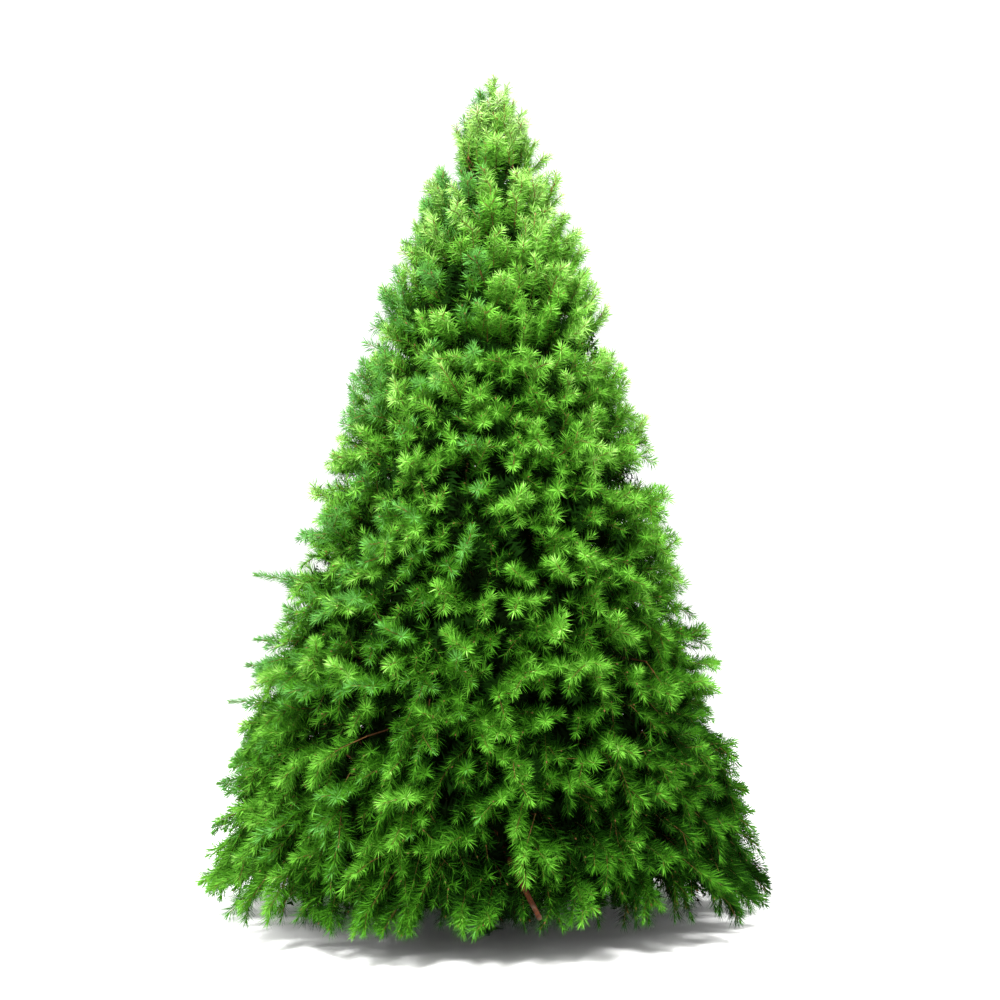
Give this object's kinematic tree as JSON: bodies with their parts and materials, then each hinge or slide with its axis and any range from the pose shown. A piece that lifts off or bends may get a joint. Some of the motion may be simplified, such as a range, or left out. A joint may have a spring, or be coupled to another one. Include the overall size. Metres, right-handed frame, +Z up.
{
  "type": "christmas tree",
  "caption": "Cut, sheared fir with a dense conical crown of short-needled sprays down to the floor, standing in a plain steel water bowl on strap legs.",
  "frame": {"origin": "the middle of the stand bowl's flat underside, on the floor below the trunk", "axes": "+Z up along the trunk; the picture's viewer is at -Y, with +X to the viewer's right"},
  "size_m": [1.4121, 1.3961, 2.0999],
  "materials": {
    "bark": "rough grey-brown bark",
    "bough_bark": "thin reddish-brown bark",
    "needles": "short soft green needles",
    "stand_steel": "dark green satin paint",
    "screw_zinc": "zinc plated"
  },
  "bodies": {
    "root": {"trunk": "bark", "bough_skirt_1": "bough_bark", "foliage_skirt_1": "needles", "bough_skirt_2": "bough_bark", "foliage_skirt_2": "needles", "bough_skirt_3": "bough_bark", "foliage_skirt_3": "needles", "bough_skirt_4": "bough_bark", "foliage_skirt_4": "needles", "bough_skirt_5": "bough_bark", "foliage_skirt_5": "needles", "bough_skirt_6": "bough_bark", "foliage_skirt_6": "needles", "bough_skirt_7": "bough_bark", "foliage_skirt_7": "needles", "bough_low_1": "bough_bark", "foliage_low_1": "needles", "bough_low_2": "bough_bark", "foliage_low_2": "needles", "bough_low_3": "bough_bark", "foliage_low_3": "needles", "bough_low_4": "bough_bark", "foliage_low_4": "needles", "bough_low_5": "bough_bark", "foliage_low_5": "needles", "bough_low_6": "bough_bark", "foliage_low_6": "needles", "bough_middle_1": "bough_bark", "foliage_middle_1": "needles", "bough_middle_2": "bough_bark", "foliage_middle_2": "needles", "bough_middle_3": "bough_bark", "foliage_middle_3": "needles", "bough_middle_4": "bough_bark", "foliage_middle_4": "needles", "bough_middle_5": "bough_bark", "foliage_middle_5": "needles", "foliage_high_1": "needles", "foliage_high_2": "needles", "foliage_high_3": "needles", "foliage_high_4": "needles", "foliage_high_5": "needles", "foliage_shoulder_1": "needles", "foliage_shoulder_2": "needles", "foliage_shoulder_3": "needles", "foliage_shoulder_4": "needles", "foliage_neck_1": "needles", "foliage_neck_2": "needles", "foliage_neck_3": "needles", "foliage_leader": "needles", "stand_bowl": "stand_steel", "stand_leg_1": "stand_steel", "stand_leg_2": "stand_steel", "stand_leg_3": "stand_steel", "stand_leg_4": "stand_steel", "stand_screw_1": "screw_zinc", "stand_screw_2": "screw_zinc", "stand_screw_3": "screw_zinc", "stand_screw_4": "screw_zinc"}
  },
  "joints": []
}
